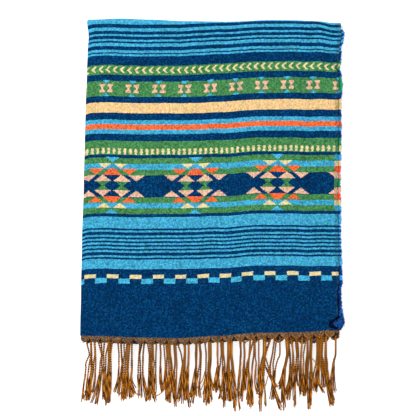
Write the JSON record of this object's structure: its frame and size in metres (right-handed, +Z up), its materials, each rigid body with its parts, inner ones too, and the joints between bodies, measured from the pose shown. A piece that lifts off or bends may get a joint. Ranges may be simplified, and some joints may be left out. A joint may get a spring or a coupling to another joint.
{
  "type": "folded woven scarf with fringed ends",
  "caption": "Jacquard-woven scarf with banded geometric pattern and twisted golden-brown fringe, folded into a flat rectangle and lying on a surface.",
  "frame": {"origin": "centre of the box's underside, on the surface that the scarf lies on", "axes": "+X from the lengthwise fold to the selvedges, +Y from the fringe to the crosswise fold, +Z up"},
  "size_m": [0.3578, 0.5275, 0.019],
  "materials": {
    "woven_cloth": "matte twill weave with a light brushed nap, in navy, sky, green, cream, orange and pink",
    "header_yarn": "matte speckled yarn",
    "fringe_yarn": "matte twisted two-ply cord"
  },
  "bodies": {
    "root": {"front_leaf": "woven_cloth", "left_fold_upper": "woven_cloth", "left_fold_lower": "woven_cloth", "top_fold": "woven_cloth", "second_leaf_selvedge": "woven_cloth", "corner_curl": "woven_cloth", "hidden_leaves": "woven_cloth", "mid_fold": "woven_cloth", "back_leaf": "woven_cloth", "header_front": "header_yarn", "header_rear": "header_yarn", "fringe_front": "fringe_yarn", "fringe_rear": "fringe_yarn"}
  },
  "joints": []
}
